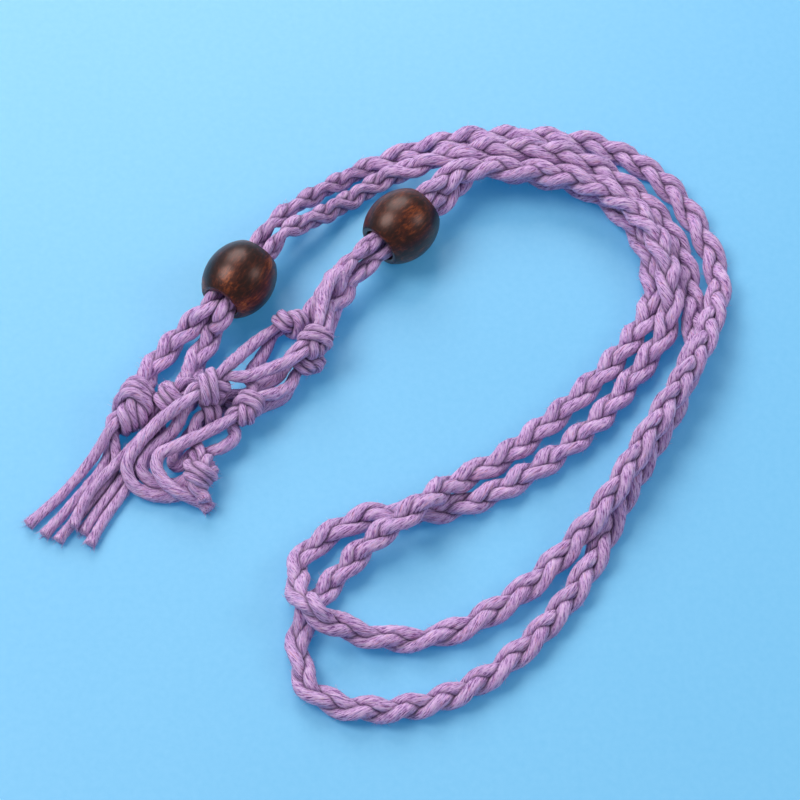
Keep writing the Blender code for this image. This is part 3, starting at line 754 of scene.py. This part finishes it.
def rope(name, cords, source):
    """The cords of those names in CORDS as closed twisted tubes, in one mesh."""
    places, faces, fibres, crease_shade = [], [], [], []
    sides, base = SKIN_SIDES, 0
    for cord in cords:
        middle, tangent, size, skin, fibre = cord_skin(*CORDS[cord], source)
        # how much painted shade each point takes in the creases where the cord touches itself or
        # others, none at the two tips
        crease_shade += [creases(cord, middle, skin).ravel(), (0, 0)]
        rings = len(middle)
        domed = size[[0, -1]] * (-0.3, 0.3)
        tips = middle[[0, -1]] + tangent[[0, -1]] * domed[:, None]
        places += [skin.reshape(-1, 3), tips]
        fibres += [fibre.reshape(-1, 3), fibre[[0, -1]].mean(axis=1)]
        faces += ring_faces(rings, sides, base).tolist()
        first, last = base + rings * sides, base + rings * sides + 1
        for m in range(sides):
            n = (m + 1) % sides
            faces.append((base + n, base + m, first))
            faces.append((base + (rings - 1) * sides + m, base + (rings - 1) * sides + n, last))
        base = last + 1
    places = np.vstack(places) - MIDDLE
    return mesh_piece(name, places, faces, np.vstack(fibres), "fibre", cord_mat,
                      np.concatenate(crease_shade))


for name, cords in BRAIDED.items():
    piece = rope(name + "_cords", cords, rng)
    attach(piece, "cords")
    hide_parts(name)
    line = smooth_curve(BRAID_LINES[name], BRAID_STEP) - MIDDLE

# Which plain solids each cord takes the place of
STANDS_FOR = {
    "net_cord_1": ["neck_cord_1", "net_cord_1", "lower_cord_1", "knot_upper_left"],
    "net_cord_2": ["neck_cord_2", "net_cord_2", "lower_cord_3", "cut_end_2"],
    "net_cord_3": ["neck_cord_3", "net_cord_3", "lower_cord_2", "knot_upper_middle",
                   "knot_lower_left"],
    "net_cord_4": ["neck_cord_4", "net_cord_4", "lower_cord_5", "knot_lower_back"],
    "net_cord_5": ["neck_cord_5", "net_cord_5", "lower_cord_4", "knot_upper_right",
                   "knot_lower_right"],
    "net_cord_6": ["neck_cord_6", "net_cord_6", "lower_cord_6", "bottom_knot", "cut_end_1"],
    "tail_a_1": ["tail_a_1", "end_knot_a"],
    "tail_a_2": ["tail_a_2"],
    "tail_a_3": ["tail_a_3"],
    "tail_b_1": ["tail_b_1", "end_knot_b"],
    "tail_b_2": ["tail_b_2"],
    "tail_b_3": ["tail_b_3"],
}
for name, (points, _) in SETTLED.items():
    piece = rope(name + "_cord", [name], rng)
    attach(piece, "cords")
    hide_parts(*STANDS_FOR[name])
    line = smooth_curve(points, CORD_STEP) - MIDDLE


# Loose fibres that stand off the cords

def fuzz(name, cords, per_metre, source, at_cut_ends=False):
    """Short bent hairs, each a closed three-sided prism, rooted in the cords' surface."""
    sides, bends = 3, 4
    angle = np.linspace(0, 2 * math.pi, sides, endpoint=False)
    places, faces, fibres = [], [], []
    for cord in cords:
        middle, length, size = resampled(*CORDS[cord], FINE_STEP)
        tangent, normal, side = frames(middle, FIRST_NORMAL)
        count = int(length[-1] * per_metre)
        at = source.integers(1, len(middle) - 1, count)
        if at_cut_ends:
            at = source.integers(len(middle) - 6, len(middle), count)
        turn = source.uniform(0, 2 * math.pi, count)
        lean = source.choice((-1, 1), count) * source.uniform(0.5, 1.6, count)
        reach = source.uniform(*FUZZ_LENGTHS, count)
        curl = source.uniform(-1.0, 1.0, (count, 1))
        out = normal[at] * np.cos(turn)[:, None] + side[at] * np.sin(turn)[:, None]
        aside = np.cross(tangent[at], out)
        along = tangent[at] * lean[:, None]
        if at_cut_ends:
            along = tangent[at] * 2.0
        root = middle[at] + out * (size[at] * FUZZ_ROOT)[:, None]
        free = np.ones(count, bool)
        for bead in (SLIDER_BEAD, POUCH_BEAD):
            free &= np.linalg.norm(root - bead["centre"], axis=1) > FUZZ_CLEAR
        for k in np.nonzero(free)[0]:
            base = len(places)
            way = along[k] + out[k] * FUZZ_RISE
            for step in np.linspace(0, 1, bends):
                bent = way + aside[k] * curl[k] * step + out[k] * FUZZ_BEND * step
                spot = root[k] + bent / np.linalg.norm(bent) * reach[k] * step
                spot[2] = max(spot[2], ABOVE_TABLE)
                thin = FUZZ_R * (1 - FUZZ_TAPER * step)
                places += [spot + (out[k] * math.cos(a) + aside[k] * math.sin(a)) * thin
                           for a in angle]
                fibre = (math.cos(turn[k]), math.sin(turn[k]), length[at[k]] / CORD_R + 3 * step)
                fibres += [fibre] * sides
            faces += [tuple(f) for f in ring_faces(bends, sides, base).tolist()]
            last = base + (bends - 1) * sides
            faces += [(base + 2, base + 1, base), (last, last + 1, last + 2)]
    piece = mesh_piece(name, np.array(places) - MIDDLE, faces, fibres, "fibre", cord_mat)
    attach(piece, "cords")


for name, cords in BRAIDED.items():
    fuzz(name + "_fuzz", cords, FUZZ_PER_METRE, rng)
fuzz("net_and_tails_fuzz", list(SETTLED), FUZZ_PER_METRE, rng)
CUT_SHORT = [name for name in SETTLED if name.startswith("tail")] + ["net_cord_2", "net_cord_5"]
fuzz("cut_ends", CUT_SHORT, FUZZ_AT_ENDS, rng, at_cut_ends=True)


# Beads

def bead_section():
    """Half of a bead's section: radius and place along the hole, with eased rims."""
    reach = BEAD_HALF / math.sqrt(1 - (BEAD_FACE_R / BEAD_R) ** 2)
    start = math.asin((BEAD_HALF - BEAD_RIM_R) / reach)
    section = [(BEAD_R * math.cos(a), reach * math.sin(a)) for a in np.linspace(-start, start, 36)]
    rim_r = section[-1][0]
    outer = [(rim_r - 0.00034 * (1 - math.cos(a)) - 0.00008,
              BEAD_HALF - BEAD_RIM_R * (1 - math.sin(a)))
             for a in np.linspace(0.35, math.pi / 2, 6)]
    inner = [(BEAD_HOLE_R + BORE_RIM_R * (1 - math.sin(a)),
              BEAD_HALF - BORE_RIM_R * (1 - math.cos(a)))
             for a in np.linspace(0, math.pi / 2, 7)]
    rim = outer + inner
    straight = BEAD_HALF - BORE_RIM_R
    wall = [(BEAD_HOLE_R, z) for z in np.linspace(straight, -straight, 8)[1:-1]]
    return section + rim + wall + [(r, -z) for r, z in reversed(rim)]


def turned_bead(name, bead, source):
    """A bead as turned and bored, very slightly out of round."""
    section = np.array(bead_section())
    sides = BEAD_SIDES
    angle = np.linspace(0, 2 * math.pi, sides, endpoint=False)
    along = bead["slide"]
    across = bead["side"]
    third = np.cross(along, across)
    grown = 1
    for times, much in OUT_OF_ROUND:
        grown = grown + much * np.sin(times * angle + source.uniform(0, 6))
    radius, outside = section[:, :1], section[:, :1] > BEAD_HOLE_R + 0.0005
    radius = np.where(outside, radius * grown[None], radius)
    own = np.stack([radius * np.cos(angle), radius * np.sin(angle),
                    np.broadcast_to(section[:, 1:], radius.shape)], axis=2)
    places = own @ np.array((across, third, along)) + bead["centre"] - MIDDLE
    count = len(section)
    faces = ring_faces(count, sides, 0).tolist()
    for m in range(sides):
        n = (m + 1) % sides
        faces.append(((count - 1) * sides + m, (count - 1) * sides + n, n, m))
    grain = own / BEAD_R + source.uniform(0, 40, 3)
    piece = mesh_piece(name + "_turned", places.reshape(-1, 3), faces, grain.reshape(-1, 3),
                       "grain", wood_mat)
    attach(piece, name)
    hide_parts(name)


turned_bead("slider_bead", SLIDER_BEAD, np.random.default_rng(21))
turned_bead("pouch_bead", POUCH_BEAD, np.random.default_rng(22))


# Finishes

class Finish:
    """A material and short ways to build its nodes."""

    def __init__(self, mat):
        mat.use_nodes = True
        self.nodes, self.links = mat.node_tree.nodes, mat.node_tree.links
        self.shader = self.nodes["Principled BSDF"]

    def add(self, kind, inputs=(), **settings):
        made = self.nodes.new(kind)
        for key, value in settings.items():
            setattr(made, key, value)
        for key, value in dict(inputs).items():
            if isinstance(value, bpy.types.NodeSocket):
                self.links.new(value, made.inputs[key])
            else:
                made.inputs[key].default_value = value
        return made

    def noise(self, vector, scale, detail, rough=0.55, stretch=(1, 1, 1), shift=(0, 0, 0)):
        placed = self.add("ShaderNodeMapping", {"Vector": vector, "Scale": stretch, "Location": shift})
        return self.add("ShaderNodeTexNoise", {"Vector": placed.outputs["Vector"], "Scale": scale,
                                               "Detail": detail, "Roughness": rough}).outputs["Fac"]

    def ramp(self, factor, stops):
        made = self.add("ShaderNodeValToRGB", {"Fac": factor})
        elements = made.color_ramp.elements
        while len(elements) < len(stops):
            elements.new(0.5)
        for element, (position, colour) in zip(elements, stops):
            element.position = position
            element.color = (*colour, 1)
        return made.outputs["Color"]

    def between(self, factor, low, high):
        return self.add("ShaderNodeMapRange", {"Value": factor, "From Min": low,
                                               "From Max": high}).outputs["Result"]

    def spread(self, factor, low, high):
        return self.add("ShaderNodeMapRange", {"Value": factor, "To Min": low,
                                               "To Max": high}).outputs["Result"]

    def attribute(self, name, output):
        return self.add("ShaderNodeAttribute", attribute_name=name).outputs[output]

    def values(self, **inputs):
        """Set the shader's own sockets, by name with _ for a space."""
        for name, value in inputs.items():
            self.shader.inputs[name.replace("_", " ")].default_value = value

    def mix(self, factor, first, second, blend="MIX"):
        made = self.add("ShaderNodeMix", data_type="RGBA", blend_type=blend)
        for number, value in ((0, factor), (6, first), (7, second)):
            socket = made.inputs[number]
            if isinstance(value, bpy.types.NodeSocket):
                self.links.new(value, socket)
            else:
                socket.default_value = value if isinstance(value, float) else (*value, 1)
        return made.outputs[2]

    def scaled(self, value, by):
        return self.add("ShaderNodeMath", {0: value, 1: by}, operation="MULTIPLY").outputs[0]

    def summed(self, first, second):
        return self.add("ShaderNodeMath", {0: first, 1: second}, operation="ADD").outputs[0]

    def finish(self, colour, roughness, height, bump, distance):
        self.links.new(colour, self.shader.inputs["Base Color"])
        self.links.new(roughness, self.shader.inputs["Roughness"])
        raised = self.add("ShaderNodeBump", {"Strength": bump, "Distance": distance, "Height": height})
        self.links.new(raised.outputs["Normal"], self.shader.inputs["Normal"])


def paint_cord():
    """Twisted cotton with pink and violet yarns, and painted shade in the creases where cords press
    together.
    """
    cord = Finish(cord_mat)
    fibre = cord.attribute("fibre", "Vector")
    yarns = cord.noise(fibre, 4.1, 4.0, 0.66, (1, 1, 0.20))
    hairs = cord.noise(fibre, 9.0, 3.0, 0.60, (1, 1, 0.16), (3, 7, 5))
    patches = cord.noise(fibre, 0.35, 2.0, 0.5, (1, 1, 0.5), (9, 1, 2))
    streaks = cord.summed(cord.scaled(yarns, 0.68), cord.scaled(hairs, 0.32))
    # The streaks' colour follows the same noise as their bump: darker in the grooves between yarns and
    # lighter on their ridges, partly the yarns' own tone and partly painted shade and painted
    # highlight
    colour = cord.ramp(streaks, [
        (0.36, (0.085, 0.015, 0.130)),
        (0.42, (0.330, 0.125, 0.400)),
        (0.47, (0.690, 0.390, 0.770)),
        (0.54, (0.890, 0.575, 0.940)),
        (0.63, (0.980, 0.750, 0.990))])
    pink = cord.between(cord.noise(fibre, 3.6, 2.0, 0.5, (1, 1, 0.20), (20, 4, 11)), 0.60, 0.70)
    colour = cord.mix(cord.scaled(pink, 0.55), colour, (0.720, 0.270, 0.400))
    violet = cord.between(cord.noise(fibre, 2.9, 2.0, 0.5, (1, 1, 0.20), (2, 40, 31)), 0.58, 0.70)
    colour = cord.mix(cord.scaled(violet, 0.50), colour, (0.330, 0.290, 0.600))
    worn = cord.scaled(cord.between(patches, 0.35, 0.65), 0.16)
    colour = cord.mix(worn, colour, (0.250, 0.110, 0.290))
    # Painted shade: the colour darkens towards deep purple in the creases where cords touch, standing
    # in for the shade there
    crease = cord.attribute("crease_shade", "Fac")
    painted_crease_shade = cord.scaled(cord.scaled(crease, crease), 0.85)
    colour = cord.mix(painted_crease_shade, colour, (0.060, 0.014, 0.100))
    cord.finish(colour, cord.spread(yarns, 0.62, 0.88), streaks, 1.0, 0.00062)
    cord.values(Sheen_Weight=0.16, Sheen_Roughness=0.45, Specular_IOR_Level=0.30)


def paint_wood():
    """Dark red-brown wood under a satin varnish: bands, flecks and pores along the hole."""
    wood = Finish(wood_mat)
    grain = wood.attribute("grain", "Vector")
    flecks = wood.noise(grain, 13.0, 3.0, 0.6, (1, 1, 0.30))
    bands = wood.noise(grain, 1.3, 3.0, 0.55, (1, 1, 0.55), (3, 1, 4))
    pores = wood.noise(grain, 30.0, 2.0, 0.5, (1, 1, 0.18), (8, 8, 1))
    mixed = wood.summed(wood.scaled(flecks, 0.42), wood.scaled(bands, 0.58))
    colour = wood.ramp(mixed, [
        (0.38, (0.006, 0.0015, 0.001)),
        (0.46, (0.018, 0.0036, 0.002)),
        (0.53, (0.060, 0.0105, 0.004)),
        (0.60, (0.190, 0.039, 0.009)),
        (0.68, (0.350, 0.095, 0.022))])
    pitted = wood.scaled(wood.between(pores, 0.56, 0.70), 0.55)
    colour = wood.mix(pitted, colour, (0.008, 0.004, 0.003))
    height = wood.summed(flecks, wood.scaled(pores, 0.5))
    wood.finish(colour, wood.spread(flecks, 0.30, 0.42), height, 0.35, 0.00010)
    wood.values(Specular_IOR_Level=0.60, Specular_Tint=(1.0, 0.62, 0.56, 1),
                Coat_Weight=0.10, Coat_Roughness=0.20)


def paint_floor(mat):
    """Pale blue paper, which glows faintly so that shadows on it stay blue."""
    paper = Finish(mat)
    place = paper.add("ShaderNodeTexCoord").outputs["Object"]
    cloud = paper.noise(place, 9.0, 3.0)
    tooth = paper.noise(place, 900.0, 3.0)
    mixed = paper.summed(paper.scaled(cloud, 0.5), paper.scaled(tooth, 0.5))
    colour = paper.ramp(mixed, [
        (0.30, (0.178, 0.458, 0.680)), (0.70, (0.213, 0.498, 0.710))])
    paper.finish(colour, paper.spread(cloud, 0.33, 0.38), tooth, 0.06, 0.0002)
    paper.values(Emission_Color=(0.0, 0.42, 1.0, 1), Emission_Strength=0.17)


paint_cord()
paint_wood()

floor_mesh = bpy.data.meshes.new("floor")
floor_mesh.from_pydata([(-2, -2, 0), (2, -2, 0), (2, 2, 0), (-2, 2, 0)], [], [(0, 1, 2, 3)])
floor = bpy.data.objects.new("floor", floor_mesh)
bpy.context.scene.collection.objects.link(floor)
floor_mat = bpy.data.materials.new("pale_blue_paper")
paint_floor(floor_mat)
floor_mesh.materials.append(floor_mat)


# Soft studio light

def area(name, toward, distance, size, power, colour=(1, 1, 1)):
    lamp = bpy.data.lights.new(name, "AREA")
    lamp.shape = "DISK"
    lamp.size = size
    lamp.energy = power
    lamp.color = colour
    piece = bpy.data.objects.new(name, lamp)
    bpy.context.scene.collection.objects.link(piece)
    aim(piece, Vector(toward).normalized() * distance, (0, 0, 0))


area("key", (-0.54, 0.14, 0.80), 0.90, 0.52, 4.7, (1.0, 0.97, 0.94))
area("fill", (0.80, 0.0, 0.60), 0.90, 0.34, 1.3)
area("sky", (-0.15, 0.77, 0.62), 1.10, 0.74, 6.0)
world = bpy.data.worlds.new("studio")
world.use_nodes = True
background = world.node_tree.nodes["Background"]
background.inputs["Color"].default_value = (0.80, 0.91, 1.0, 1)
background.inputs["Strength"].default_value = 0.36
bpy.context.scene.world = world
bpy.context.scene.view_settings.view_transform = "Standard"
